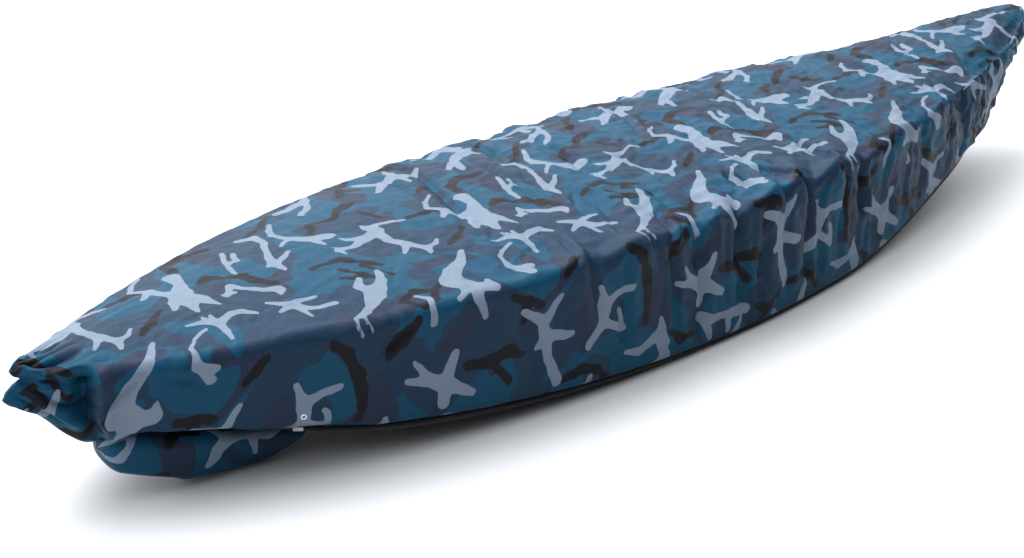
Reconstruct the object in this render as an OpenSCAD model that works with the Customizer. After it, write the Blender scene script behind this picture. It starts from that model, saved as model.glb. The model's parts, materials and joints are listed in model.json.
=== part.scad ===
// Full-length kayak cover: a printed coated cloth shell with a gathered bow,
// a tapered stern, an elastic cord in a hem casing, cord locks and two belly
// straps with side-release buckles.
// Frame: X runs from bow (-X) to stern (+X), port is -Y, Z is up and the hem
// stands on z = 0. All sizes are in millimetres.

/* [Cover] */
// Length over the cover, bow tip to stern tip
cover_length = 3300; // [2900:50:3700]
// Width over the gunwales
cover_width = 780; // [700:10:860]
// Gunwale height amidships above the bottom of the hem
gunwale_height = 328; // [280:1:380]
// Rise of the crown of the deck over the gunwale
deck_crown = 29; // [10:1:60]
// Drop of the gunwale line at the bow
bow_drop = 28; // [0:1:60]
// Rise of the gunwale line at the stern
stern_sheer = 104; // [40:1:130]
// Rise of the hem line at the bow
bow_rocker = 155; // [100:5:190]
// Rise of the hem line towards the stern
stern_rocker = 532; // [400:1:600]
// Slack of the cloth hanging below the hem line ahead of the stern
stern_drape = 62; // [0:1:80]
// Radius of the cloth over the gunwale
gunwale_radius = 28; // [15:1:60]
// Thickness the cloth is drawn with
cloth_t = 2.4; // [1.6:0.1:3]

/* [Hem] */
// Height of the hem casing
casing_h = 14; // [12:0.5:18]
// Width of the hem casing
casing_w = 13; // [12:0.5:18]
// Diameter of the elastic cord
cord_d = 4.4; // [3:0.1:5]
// Tuck of the hem inside the widest line of the curtain
hem_tuck = 16; // [14:1:40]
// Share of the half length where the hem opening ends
hem_end = 0.78; // [0.7:0.01:0.84]
// Half width of the hem opening at its ends
hem_end_half = 40; // [30:1:60]

/* [Eyelets] */
// Distance of the eyelets forward of the middle of the cover
eyelet_x = 1190; // [1100:5:1230]
// Height of the eyelets above the lower edge of the cloth
eyelet_up = 46; // [40:1:60]
// Hole through an eyelet
eyelet_hole_d = 6; // [5:0.5:8]

/* [Straps] */
// Distance of the fore strap from the middle of the cover
fore_strap_x = 520; // [350:10:650]
// Distance of the aft strap from the middle of the cover
aft_strap_x = 420; // [300:10:480]
// Width of the webbing
web_w = 25; // [20:1:30]
// Thickness of the webbing
web_t = 1.6; // [1.2:0.1:2]
// Travel of a plug out of its socket
plug_travel = 28; // [24:1:30]

/* [Cord locks] */
// Radius of a lock barrel
barrel_r = 9; // [8.5:0.5:11]
// Travel of a lock button
button_travel = 4; // [3:0.5:4]

/* [Hidden] */
TIP_TRIM = 4;
half = cover_length / 2 + TIP_TRIM;
gap = 0.3;
panel_gap = 1;
hem_x = hem_end * half;
edge_z = casing_h + gap;

// ---- Hull lines ----
function bow_u(x) = max(0, -x / half);
function stern_u(x) = max(0, x / half);
function half_width(x) = cover_width / 2 * (x < 0
  ? pow(max(0, 1 - pow(bow_u(x), 2.74)), 0.894)
  : pow(max(0, 1 - pow(stern_u(x), 1.46)), 0.606));
function gunwale_z(x) = gunwale_height - bow_drop * pow(bow_u(x), 2)
  + stern_sheer * pow(stern_u(x), 2);
function crown_z(x) = gunwale_z(x) + deck_crown * pow(half_width(x) * 2 / cover_width, 0.8);
function bow_rise(b) = bow_rocker * pow(b, 1.84) + 90 * pow(max(0, (b - 0.9) / 0.1), 2);
function stern_rise(t) = stern_rocker * pow(max(0, (t - 0.2) / 0.8), 1.82);
function stern_slack(x) = stern_drape * exp(-pow((x - 0.713 * half) / 240, 2));
function bottom_z(x) = x < 0
  ? edge_z + bow_rise(bow_u(x))
  : min(edge_z + stern_rise(stern_u(x)), gunwale_z(x) - 62) - stern_slack(x);
function hem_y(x) =
  let (k = 1 - pow(min(1, abs(x) / hem_x), 14))
  (half_width(x) - hem_tuck) * k + hem_end_half * (1 - k);
function bilge_r(x) = min(hem_tuck - 4 + 46 * pow(abs(x) / half, 2), 0.5 * half_width(x),
  0.3 * (crown_z(x) - bottom_z(x)));
function shoulder_r(x) = min(gunwale_radius, 0.4 * half_width(x),
  0.35 * (gunwale_z(x) - bottom_z(x)));

// Half section from the crown down to the lip, as [y, z]
DECK_SPREAD = [0, 0.35, 0.65, 0.87];
function half_section(x, lip) =
  let (w = half_width(x), zc = crown_z(x), zg = gunwale_z(x), zb = bottom_z(x),
    r = bilge_r(x), q = shoulder_r(x))
  concat(
    [for (d = DECK_SPREAD) [(w - q) * d, zc - (zc - zg) * pow(d, 2.2)]],
    [for (a = [90:-30:0]) [w - q + q * cos(a), zg - q + q * sin(a)]],
    [[w, (zg - q + zb + r) / 2]],
    [[w, zb + r], [w - r * 0.293, zb + r * 0.293], [w - r, zb]],
    [[(w - r + lip) / 2, zb], [lip, zb]]);
function full_section(x, lip) =
  let (s = half_section(x, lip), n = len(s))
  concat([for (i = [n - 1:-1:1]) [-s[i][0], s[i][1]]], s);
function ring_section(x) =
  let (s = half_section(x, 0), n = len(s))
  concat([for (i = [n - 1:-1:1]) [-s[i][0], s[i][1]]], [for (i = [0:n - 2]) s[i]]);

// Points of a section moved inwards by t
function unit2(v) = v / max(1e-6, norm(v));
function inset_open(s, t) = [for (i = [0:len(s) - 1])
  let (a = s[max(0, i - 1)], b = s[min(len(s) - 1, i + 1)], d = unit2(b - a))
  [s[i][0] + d[1] * t, s[i][1] - d[0] * t]];
function inset_ring(s, t) = [for (i = [0:len(s) - 1])
  let (n = len(s), a = s[(i + n - 1) % n], b = s[(i + 1) % n], d = unit2(b - a))
  [s[i][0] + d[1] * t, s[i][1] - d[0] * t]];
function at_x(s, x) = [for (p = s) [x, p[0], p[1]]];
function flat2(lists) = [for (l = lists) for (p = l) p];
function tri2(a, b, c, d) = [[a, b, c], [a, c, d]];

// Shell that is open below: stations of n outer points followed by n inner points
module open_shell(outer, inner) {
  m = len(outer);
  n = len(outer[0]);
  polyhedron(
    points = concat(flat2(outer), flat2(inner)),
    faces = flat2(concat(
      [for (i = [0:m - 2]) for (j = [0:n - 2])
        tri2(i * n + j, i * n + j + 1, (i + 1) * n + j + 1, (i + 1) * n + j)],
      [for (i = [0:m - 2]) for (j = [0:n - 2])
        tri2((m + i) * n + j, (m + i + 1) * n + j, (m + i + 1) * n + j + 1, (m + i) * n + j + 1)],
      [for (i = [0:m - 2]) tri2(i * n, (i + 1) * n, (m + i + 1) * n, (m + i) * n)],
      [for (i = [0:m - 2])
        tri2(i * n + n - 1, (m + i) * n + n - 1, (m + i + 1) * n + n - 1, (i + 1) * n + n - 1)],
      [for (j = [0:n - 2]) tri2(j, m * n + j, m * n + j + 1, j + 1)],
      [for (j = [0:n - 2])
        tri2((m - 1) * n + j, (m - 1) * n + j + 1, (2 * m - 1) * n + j + 1, (2 * m - 1) * n + j)])),
    convexity = 6);
}

// Pocket closed at its last station: rings of n points, outer then inner
module pocket(outer, inner, flip) {
  m = len(outer);
  n = len(outer[0]);
  raw = flat2(concat(
    [for (i = [0:m - 2]) for (j = [0:n - 1]) let (k = (j + 1) % n)
      tri2(i * n + j, i * n + k, (i + 1) * n + k, (i + 1) * n + j)],
    [for (i = [0:m - 2]) for (j = [0:n - 1]) let (k = (j + 1) % n)
      tri2((m + i) * n + j, (m + i + 1) * n + j, (m + i + 1) * n + k, (m + i) * n + k)],
    [for (j = [0:n - 1]) let (k = (j + 1) % n) tri2(j, m * n + j, m * n + k, k)],
    [[for (j = [1:n - 2]) let (c = n / 2, e = (m - 1) * n)
      [e + c, e + (c + j) % n, e + (c + j + 1) % n]]],
    [[for (j = [1:n - 2]) let (c = n / 2, e = (2 * m - 1) * n)
      [e + c, e + (c + j + 1) % n, e + (c + j) % n]]]));
  polyhedron(
    points = concat(flat2(outer), flat2(inner)),
    faces = flip ? [for (f = raw) [f[0], f[2], f[1]]] : raw,
    convexity = 6);
}

// Tube or ring swept along a level-ish path: c is the path, each section point is [side, up]
function path_dir(c, i) =
  let (d = c[min(len(c) - 1, i + 1)] - c[max(0, i - 1)]) unit2([d[0], d[1]]);
function swept(c, s) = [for (i = [0:len(c) - 1])
  let (d = path_dir(c, i))
  [for (p = s) [c[i][0] - d[1] * p[0], c[i][1] + d[0] * p[0], c[i][2] + p[1]]]];
function oval(a, b, n) = [for (k = [0:n - 1])
  let (q = 360 / n * (k + 0.5)) [a * cos(q), b * sin(q)]];
module rod(c, s) {
  m = len(c);
  n = len(s);
  polyhedron(
    points = flat2(swept(c, s)),
    faces = flat2(concat(
      [for (i = [0:m - 2]) for (j = [0:n - 1]) let (k = (j + 1) % n)
        tri2(i * n + j, i * n + k, (i + 1) * n + k, (i + 1) * n + j)],
      [[for (j = [0:n - 3]) [0, j + 2, j + 1]]],
      [[for (j = [0:n - 3]) [(m - 1) * n, (m - 1) * n + j + 1, (m - 1) * n + j + 2]]])),
    convexity = 8);
}
module pipe(c, s, h) {
  m = len(c);
  n = len(s);
  polyhedron(
    points = concat(flat2(swept(c, s)), flat2(swept(c, h))),
    faces = flat2(concat(
      [for (i = [0:m - 2]) for (j = [0:n - 1]) let (k = (j + 1) % n)
        tri2(i * n + j, i * n + k, (i + 1) * n + k, (i + 1) * n + j)],
      [for (i = [0:m - 2]) for (j = [0:n - 1]) let (k = (j + 1) % n)
        tri2((m + i) * n + j, (m + i + 1) * n + j, (m + i + 1) * n + k, (m + i) * n + k)],
      [for (j = [0:n - 1]) let (k = (j + 1) % n) tri2(j, m * n + j, m * n + k, k)],
      [for (j = [0:n - 1]) let (k = (j + 1) % n, e = (m - 1) * n, f = (2 * m - 1) * n)
        tri2(e + j, e + k, f + k, f + j)])),
    convexity = 8);
}

// ---- Cloth ----
MAIN_STEPS = 26;
function main_x(i) = let (q = 2 * i / MAIN_STEPS - 1) hem_x * (0.72 * q + 0.28 * sin(90 * q));
MAIN_X = [for (i = [0:MAIN_STEPS]) main_x(i)];
// The cloth over the deck, edge to edge of the two side curtains
function deck_section(x) =
  let (s = half_section(x, 0), h = [s[0], s[1], s[2], s[3], s[4] - [panel_gap, 0]])
  concat([for (i = [4:-1:1]) [-h[i][0], h[i][1]]], h);
function curtain_section(x) =
  let (s = half_section(x, hem_y(x) - 5)) [for (i = [4:len(s) - 1]) s[i]];
module main_shell(sections) {
  open_shell(
    [for (i = [0:MAIN_STEPS]) at_x(sections[i], MAIN_X[i])],
    [for (i = [0:MAIN_STEPS]) at_x(inset_open(sections[i], cloth_t), MAIN_X[i])]);
}
module side_curtain() {
  difference() {
    main_shell([for (x = MAIN_X) curtain_section(x)]);
    at_eyelet(1) cylinder(h = 30, r = eyelet_hole_d / 2 + 1, center = true, $fn = 24);
  }
}
module deck_cloth() {
  color([0.24, 0.40, 0.52]) main_shell([for (x = MAIN_X) deck_section(x)]);
}
module port_side_curtain() {
  color([0.22, 0.38, 0.50]) mirror([0, 1, 0]) side_curtain();
}
module starboard_side_curtain() {
  color([0.22, 0.38, 0.50]) side_curtain();
}
TIP_STEPS = 9;
function tip_x(i) = hem_x + gap + (half - TIP_TRIM - hem_x - gap) * sin(90 * i / TIP_STEPS);
module tip_panel(dir) {
  xs = [for (i = [0:TIP_STEPS]) dir * tip_x(i)];
  sections = [for (x = xs) ring_section(x)];
  inner_x = [for (i = [0:TIP_STEPS]) xs[i] - (i == TIP_STEPS ? dir * 3 : 0)];
  pocket(
    [for (i = [0:TIP_STEPS]) at_x(sections[i], xs[i])],
    [for (i = [0:TIP_STEPS])
      at_x(inset_ring(ring_section(inner_x[i]), min(cloth_t, half_width(inner_x[i]) * 0.3)), inner_x[i])],
    dir < 0);
}
module bow_panel() {
  color([0.24, 0.40, 0.52]) tip_panel(-1);
}
module stern_panel() {
  color([0.24, 0.40, 0.52]) tip_panel(1);
}

// Spare cloth folded into a roll under the port side of the bow
GATHER_STEPS = 14;
GATHER_SIDES = 16;
function gather_top(u) = 152 - 98 * u;
function gather_base(u) = max(0, 84 - 200 * u, 130 * (u - 0.7));
module bow_gather() {
  path = [for (i = [0:GATHER_STEPS])
    let (u = i / GATHER_STEPS, e = pow(sin(180 * (0.05 + 0.91 * u)), 0.3),
      top = gather_top(u), base = gather_base(u))
    [128 - half + 400 * u, -56 - 68 * u, (top + base) / 2, 44 * e, (top - base) / 2 * e]];
  color([0.20, 0.34, 0.46])
  polyhedron(
    points = flat2([for (p = path) [for (k = [0:GATHER_SIDES - 1])
      let (q = 360 / GATHER_SIDES * k, r = 1 + 0.06 * cos(3 * q + p[0] / 9))
      [p[0], p[1] + p[3] * r * cos(q), p[2] + p[4] * sin(q)]]]),
    faces = flat2(concat(
      [for (i = [0:GATHER_STEPS - 1]) for (j = [0:GATHER_SIDES - 1]) let (k = (j + 1) % GATHER_SIDES)
        tri2(i * GATHER_SIDES + j, (i + 1) * GATHER_SIDES + j, (i + 1) * GATHER_SIDES + k,
          i * GATHER_SIDES + k)],
      [[for (j = [0:GATHER_SIDES - 3]) [0, j + 1, j + 2]]],
      [[for (j = [0:GATHER_SIDES - 3]) let (e = GATHER_STEPS * GATHER_SIDES) [e, e + j + 2, e + j + 1]]])),
    convexity = 4);
}

// Binding tape inside each end seam, from one bilge over the deck to the other
module seam_tape(x) {
  color([0.10, 0.11, 0.13])
  open_shell(
    [for (d = [-10, 10]) at_x(upper_part(x + d, cloth_t + gap), x + d)],
    [for (d = [-10, 10]) at_x(upper_part(x + d, cloth_t + gap + 1.2), x + d)]);
}
function upper_part(x, t) =
  let (s = inset_open(full_section(x, 60), t), n = len(s)) [for (i = [4:n - 5]) s[i]];
module bow_seam_tape() {
  seam_tape(-hem_x - gap / 2);
}
module stern_seam_tape() {
  seam_tape(hem_x + gap / 2);
}

// ---- Hem ----
HEM_STEPS = 40;
function hem_pt(x) = [x, -hem_y(x), bottom_z(x) - gap - casing_h / 2];
function hem_arc(dir, q) = [dir * (hem_x + hem_end_half * cos(q)), -hem_end_half * sin(q),
  bottom_z(dir * hem_x) - gap - casing_h / 2];
function hem_run(q0) = concat(
  [for (q = [q0:15:75]) hem_arc(-1, q)],
  [for (i = [0:HEM_STEPS])
    let (u = 2 * i / HEM_STEPS - 1) hem_pt(hem_x * (0.45 * u + 0.55 * sin(90 * u)))],
  [for (q = [75:-15:q0]) hem_arc(1, q)]);
function tail_run(dir) =
  let (x0 = hem_x + hem_end_half, z0 = bottom_z(dir * hem_x) - gap - casing_h / 2)
  [for (p = [[-4, -16.5], [1.5, -11], [6, -6.2], [11, -3.4], [18, -3], [84, -3]])
    [dir * (x0 + p[0]), p[1], z0]];
module hem_casing() {
  pipe(hem_run(30), oval(casing_w / 2, casing_h / 2, 10), oval(3.4, 3.6, 10));
}
module hem_casing_port() {
  color([0.04, 0.04, 0.05]) hem_casing();
}
module hem_casing_starboard() {
  color([0.04, 0.04, 0.05]) mirror([0, 1, 0]) hem_casing();
}
module drawcord() {
  tails = [tail_run(-1), tail_run(1)];
  rod(concat([for (i = [5:-1:0]) tails[0][i]], hem_run(30), tails[1]),
    oval(cord_d / 2, cord_d / 2, 8));
}
module drawcord_port() {
  color([0.08, 0.08, 0.09]) drawcord();
}
module drawcord_starboard() {
  color([0.08, 0.08, 0.09]) mirror([0, 1, 0]) drawcord();
}

// ---- Cord locks and cord ends ----
module at_tail(dir, along) {
  translate([dir * (hem_x + hem_end_half + along), 0, bottom_z(dir * hem_x) - gap - casing_h / 2])
  children();
}
module cord_slot(h, len) {
  for (z = [-h, h]) {
    translate([0, 0, z]) cube([len, 6, 5.2], center = true);
    for (y = [-3, 3]) {
      translate([0, y, z]) rotate([0, 90, 0]) cylinder(h = len, r = 2.6, center = true, $fn = 24);
    }
  }
}
module lock_barrel() {
  difference() {
    union() {
      translate([0, 0, -7]) cylinder(h = 21, r = barrel_r, $fn = 48);
      translate([0, 0, 9]) cylinder(h = 1.6, r = barrel_r + 0.6, $fn = 48);
    }
    translate([0, 0, -8]) cylinder(h = 19.5, r = 6.8, $fn = 48);
    cord_slot(0, 30);
  }
}
module lock_button() {
  difference() {
    union() {
      translate([0, 0, -13]) cylinder(h = 17.5, r = 6.5, $fn = 48);
      translate([0, 0, -13.8]) cylinder(h = 0.8, r1 = 5.7, r2 = 6.5, $fn = 48);
    }
    translate([0, 0, -button_travel / 2]) {
      cord_slot(button_travel / 2, 30);
      cube([30, 11.2, button_travel], center = true);
    }
  }
}
module lock_spring() {
  turns = 4;
  r = 4.6;
  wire = 0.45;
  z0 = 4.5 + wire + 0.1;
  z1 = 11.5 - wire - 0.1;
  m = turns * 9;
  polyhedron(
    points = flat2([for (i = [0:m]) let (a = 360 * turns * i / m)
      [for (k = [0:5]) let (q = 60 * k)
        [(r + wire * cos(q)) * cos(a), (r + wire * cos(q)) * sin(a),
          z0 + (z1 - z0) * i / m + wire * sin(q)]]]),
    faces = flat2(concat(
      [for (i = [0:m - 1]) for (j = [0:5]) let (k = (j + 1) % 6)
        tri2(i * 6 + j, (i + 1) * 6 + j, (i + 1) * 6 + k, i * 6 + k)],
      [[for (j = [0:3]) [0, j + 1, j + 2]]],
      [[for (j = [0:3]) [m * 6, m * 6 + j + 2, m * 6 + j + 1]]])),
    convexity = 10);
}
module cord_end(dir) {
  difference() {
    union() {
      cube([13, 11, 7.6], center = true);
      for (y = [-5.5, 5.5]) {
        translate([0, y, 0]) rotate([0, 90, 0]) cylinder(h = 13, r = 3.8, center = true, $fn = 32);
      }
    }
    for (y = [-3, 3]) {
      translate([-dir * 2, y, 0]) rotate([0, 90, 0])
      cylinder(h = 13, r = 2.45, center = true, $fn = 24);
    }
  }
}
module bow_cord_end() {
  color([0.05, 0.05, 0.06]) at_tail(-1, 82) cord_end(-1);
}
module stern_cord_end() {
  color([0.05, 0.05, 0.06]) at_tail(1, 82) cord_end(1);
}
module bow_lock_barrel() {
  color([0.05, 0.05, 0.06]) at_tail(-1, 29) lock_barrel();
}
module bow_lock_spring() {
  color([0.70, 0.71, 0.72]) at_tail(-1, 29) lock_spring();
}
module bow_lock_button() {
  color([0.09, 0.09, 0.10]) at_tail(-1, 29) lock_button();
}
module stern_lock_barrel() {
  color([0.05, 0.05, 0.06]) at_tail(1, 29) lock_barrel();
}
module stern_lock_spring() {
  color([0.70, 0.71, 0.72]) at_tail(1, 29) lock_spring();
}
module stern_lock_button() {
  color([0.09, 0.09, 0.10]) at_tail(1, 29) lock_button();
}

// ---- Eyelets and label ----
module at_eyelet(side) {
  slope = (half_width(-eyelet_x + 5) - half_width(-eyelet_x - 5)) / 10;
  translate([-eyelet_x, side * half_width(-eyelet_x), bottom_z(-eyelet_x) + eyelet_up])
  rotate([0, 0, side * atan(slope)])
  rotate([-side * 90, 0, 0])
  children();
}
module eyelets() {
  hole = eyelet_hole_d / 2;
  color([0.66, 0.68, 0.70])
  for (side = [-1, 1]) {
    at_eyelet(side)
    rotate_extrude($fn = 48)
    polygon([[hole, -5.4], [hole, 1.1], [hole + 0.6, 1.7], [hole + 2.4, 1.7], [hole + 3.2, 0.9],
      [hole + 3.2, 0.5], [hole + 0.7, 0.5], [hole + 0.7, -5.4]]);
  }
}
module eyelet_washers() {
  color([0.60, 0.62, 0.64])
  for (side = [-1, 1]) {
    at_eyelet(side)
    translate([0, 0, -5.2])
    difference() {
      cylinder(h = 0.8, r = eyelet_hole_d / 2 + 3.4, $fn = 48);
      translate([0, 0, -1]) cylinder(h = 3, r = eyelet_hole_d / 2 + 0.8, $fn = 48);
    }
  }
}
module eyelet_patches() {
  color([0.05, 0.05, 0.06])
  for (side = [-1, 1]) {
    at_eyelet(side)
    translate([0, 0, -3.7])
    difference() {
      cube([20, 20, 1.2], center = true);
      cylinder(h = 4, r = eyelet_hole_d / 2 + 0.9, center = true, $fn = 32);
    }
  }
}
module hem_label() {
  x = -eyelet_x + 18;
  turn = atan((hem_y(x + 5) - hem_y(x - 5)) / 10);
  color([0.80, 0.81, 0.84])
  translate([x, -hem_y(x) - (casing_w / 2 + 1.1) / cos(turn), bottom_z(x) - gap - casing_h / 2])
  rotate([0, 0, -turn])
  cube([20, 1.4, 8], center = true);
}

// ---- Belly straps ----
// Ribbon of thickness t along a path of [y, z], as a closed outline
function side_of(c, i, t) =
  let (a = c[max(0, i - 1)], b = c[i], e = c[min(len(c) - 1, i + 1)],
    d0 = i == 0 ? unit2(e - b) : unit2(b - a), d1 = i == len(c) - 1 ? d0 : unit2(e - b),
    n = unit2([-(d0[1] + d1[1]), d0[0] + d1[0]]), k = n[0] * -d0[1] + n[1] * d0[0])
  b + n * t / max(0.5, k);
function outline(c, t) = concat(
  [for (i = [0:len(c) - 1]) side_of(c, i, t / 2)],
  [for (i = [len(c) - 1:-1:0]) side_of(c, i, -t / 2)]);
module web(c) {
  translate([-web_w / 2, 0, 0])
  rotate([90, 0, 90])
  linear_extrude(height = web_w)
  polygon(outline(c, web_t));
}
WEB_Z = 4.2;
BAR_Z = 7.3;
function turn(yc, zc, r, q0, q1) = [for (k = [0:6])
  let (q = q0 + (q1 - q0) * k / 6) [yc + r * cos(q), zc + r * sin(q)]];
// Webbing from its sewn end inside the starboard curtain to the bar of the socket
module socket_web(x) {
  w = half_width(x) - cloth_t - gap - web_t / 2;
  h = hem_y(x) - casing_w / 2;
  zb = bottom_z(x);
  translate([x, 0, 0])
  web(concat(
    [[66, WEB_Z + 2.1], [47, WEB_Z + 2.1], [43, BAR_Z + 3.1]],
    turn(40, BAR_Z, 3.1, 90, 270),
    [[h - 34, WEB_Z], [h - 16, zb + 11], [w - 4, zb + 30], [w - 1.2, zb + 36], [w - 1.2, zb + 96]]));
}
// Webbing looped on the bar of the plug, running out to port through the slider
module plug_web(x) {
  translate([x, 0, 0])
  web(concat(
    [[-41, WEB_Z + 2.1], [-22, WEB_Z + 2.1], [-18, BAR_Z + 3.1]],
    turn(-15, BAR_Z, 3.1, 90, -90),
    [[26 + plug_travel - hem_y(x), WEB_Z]]));
}
function slider_y(x) = hem_y(x) - 76;
module slider_tab(x) {
  w = half_width(x) - cloth_t - gap - web_t / 2;
  h = hem_y(x) - casing_w / 2;
  zb = bottom_z(x);
  y = slider_y(x) + 12;
  translate([x, 0, 0])
  web(concat(
    [[-y - 24, 17.1], [-y - 8, 15]],
    turn(-y, 12, 2.3, 110, -70),
    [[-y - 8, 9.9], [-h + 24, 12.6], [-h + 6, zb + 14], [-w + 4, zb + 30], [-w + 1.2, zb + 36],
      [-w + 1.2, zb + 96]]));
}
// Slider: two low bars under the webbing, one bar over it and a raised bar for its tab
module slider(x) {
  y = -slider_y(x);
  translate([x, y, 0]) {
    for (s = [-1, 1]) {
      translate([s * (web_w / 2 + 2.1), 0, 4.9]) cube([3, 22, 8], center = true);
      translate([s * (web_w / 2 + 2.1), -12, 10]) rotate([0, 90, 0])
      cylinder(h = 3, r = 3.6, center = true, $fn = 32);
    }
    for (p = [[-8, 1.8, 1.2], [8, 1.8, 1.2], [0, 6.9, 1.5], [-12, 12, 1.2]]) {
      translate([0, p[0], p[1]]) rotate([0, 90, 0])
      cylinder(h = web_w + 6, r = p[2], center = true, $fn = 24);
    }
  }
}
// Socket: a flat box with its mouth to port, finger windows and a bar for the webbing
module socket(x) {
  translate([x, 0, BAR_Z])
  difference() {
    union() {
      translate([0, 15, 0]) cube([36, 30, 10.4], center = true);
      for (s = [-1, 1]) {
        translate([s * 15.8, 36, 0]) cube([4.4, 12.4, 7], center = true);
      }
      translate([0, 40, 0]) rotate([0, 90, 0]) cylinder(h = 36, r = 2, center = true, $fn = 24);
    }
    translate([0, 13, 0]) cube([31.4, 27, 6.2], center = true);
    translate([0, 16, 0]) cube([40, 11, 6.2], center = true);
    translate([0, 27, 0]) cube([10, 1.6, 20], center = true);
  }
}
// Plug: a frame with a bar for the webbing, two sprung prongs and a guide tongue
module plug(x) {
  translate([x, 0, BAR_Z]) {
    translate([0, -3.8, 0]) cube([34, 6.6, 9], center = true);
    for (s = [-1, 1]) {
      translate([s * 15.2, -10.5, 0]) cube([3.6, 13, 7], center = true);
      translate([s * 12.6, 9.5, 0]) cube([2.6, 21, 5], center = true);
      translate([s * 13.6, 16, 0]) cube([3.8, 9, 5.2], center = true);
      translate([s * 12.6, 20.5, 0]) cylinder(h = 5.2, r = 2, center = true, $fn = 24);
    }
    translate([0, -15, 0]) rotate([0, 90, 0]) cylinder(h = 34, r = 2, center = true, $fn = 24);
    translate([0, 8, 0]) cube([7, 18, 4], center = true);
  }
}
BLACK = [0.05, 0.05, 0.06];
WEB_COLOR = [0.07, 0.07, 0.08];
module fore_socket_web() {
  color(WEB_COLOR) socket_web(-fore_strap_x);
}
module fore_socket() {
  color(BLACK) socket(-fore_strap_x);
}
module fore_plug() {
  color(BLACK) plug(-fore_strap_x);
}
module fore_plug_web() {
  color(WEB_COLOR) plug_web(-fore_strap_x);
}
module fore_slider() {
  color(BLACK) slider(-fore_strap_x);
}
module fore_slider_tab() {
  color(WEB_COLOR) slider_tab(-fore_strap_x);
}
module aft_socket_web() {
  color(WEB_COLOR) socket_web(aft_strap_x);
}
module aft_socket() {
  color(BLACK) socket(aft_strap_x);
}
module aft_plug() {
  color(BLACK) plug(aft_strap_x);
}
module aft_plug_web() {
  color(WEB_COLOR) plug_web(aft_strap_x);
}
module aft_slider() {
  color(BLACK) slider(aft_strap_x);
}
module aft_slider_tab() {
  color(WEB_COLOR) slider_tab(aft_strap_x);
}

deck_cloth();
port_side_curtain();
starboard_side_curtain();
bow_panel();
stern_panel();
bow_gather();
bow_seam_tape();
stern_seam_tape();
hem_casing_port();
hem_casing_starboard();
drawcord_port();
drawcord_starboard();
bow_cord_end();
stern_cord_end();
bow_lock_barrel();
bow_lock_spring();
bow_lock_button();
stern_lock_barrel();
stern_lock_spring();
stern_lock_button();
eyelets();
eyelet_washers();
eyelet_patches();
hem_label();
fore_socket_web();
fore_socket();
fore_plug();
fore_plug_web();
fore_slider();
fore_slider_tab();
aft_socket_web();
aft_socket();
aft_plug();
aft_plug_web();
aft_slider();
aft_slider_tab();
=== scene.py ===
"""Full-length kayak cover in printed coated cloth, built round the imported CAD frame."""

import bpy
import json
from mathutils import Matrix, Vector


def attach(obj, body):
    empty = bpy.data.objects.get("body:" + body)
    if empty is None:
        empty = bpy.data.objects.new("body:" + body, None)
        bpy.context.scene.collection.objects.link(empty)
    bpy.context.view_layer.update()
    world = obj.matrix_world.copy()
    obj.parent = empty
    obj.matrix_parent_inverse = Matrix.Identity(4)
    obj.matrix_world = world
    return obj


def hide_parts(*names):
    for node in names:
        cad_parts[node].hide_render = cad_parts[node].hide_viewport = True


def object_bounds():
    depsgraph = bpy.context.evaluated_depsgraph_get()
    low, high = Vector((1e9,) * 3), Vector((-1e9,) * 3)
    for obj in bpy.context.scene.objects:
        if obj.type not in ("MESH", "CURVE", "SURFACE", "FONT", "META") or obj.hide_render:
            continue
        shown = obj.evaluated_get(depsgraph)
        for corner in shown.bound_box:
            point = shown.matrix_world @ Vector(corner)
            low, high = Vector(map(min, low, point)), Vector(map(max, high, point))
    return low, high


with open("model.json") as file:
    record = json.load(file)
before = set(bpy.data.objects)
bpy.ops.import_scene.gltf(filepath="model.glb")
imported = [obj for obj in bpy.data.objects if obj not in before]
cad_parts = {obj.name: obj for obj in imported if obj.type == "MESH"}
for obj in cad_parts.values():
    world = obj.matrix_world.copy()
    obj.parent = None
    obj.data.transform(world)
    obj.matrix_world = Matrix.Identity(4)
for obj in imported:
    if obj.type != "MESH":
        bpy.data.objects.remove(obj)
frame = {"nodes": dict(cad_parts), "record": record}
cad_box = [list(c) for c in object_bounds()]

import json
import math
import bpy
import numpy as np
from mathutils import Matrix, Vector

# ---------------------------------------------------------------- camera
SENSOR_MM, LENS_MM, DISTANCE = 36.0, 52.861, 3.473
AZ, EL = math.radians(-41.855), math.radians(24.224)
TARGET = Vector((-0.442, 0.0, 0.124))
back = Vector((math.sin(AZ) * math.cos(EL), -math.cos(AZ) * math.cos(EL), math.sin(EL)))
right = Vector((math.cos(AZ), math.sin(AZ), 0.0))
up = back.cross(right)
cam_data = bpy.data.cameras.new("camera")
cam_data.sensor_fit = "HORIZONTAL"
cam_data.sensor_width = SENSOR_MM
cam_data.lens = LENS_MM
cam_data.clip_start, cam_data.clip_end = 0.05, 200.0
camera = bpy.data.objects.new("camera", cam_data)
bpy.context.scene.collection.objects.link(camera)
camera.matrix_world = Matrix.Translation(TARGET + back * DISTANCE) @ Matrix(
    ((right.x, up.x, back.x), (right.y, up.y, back.y), (right.z, up.z, back.z))).to_4x4()
bpy.context.scene.camera = camera

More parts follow.
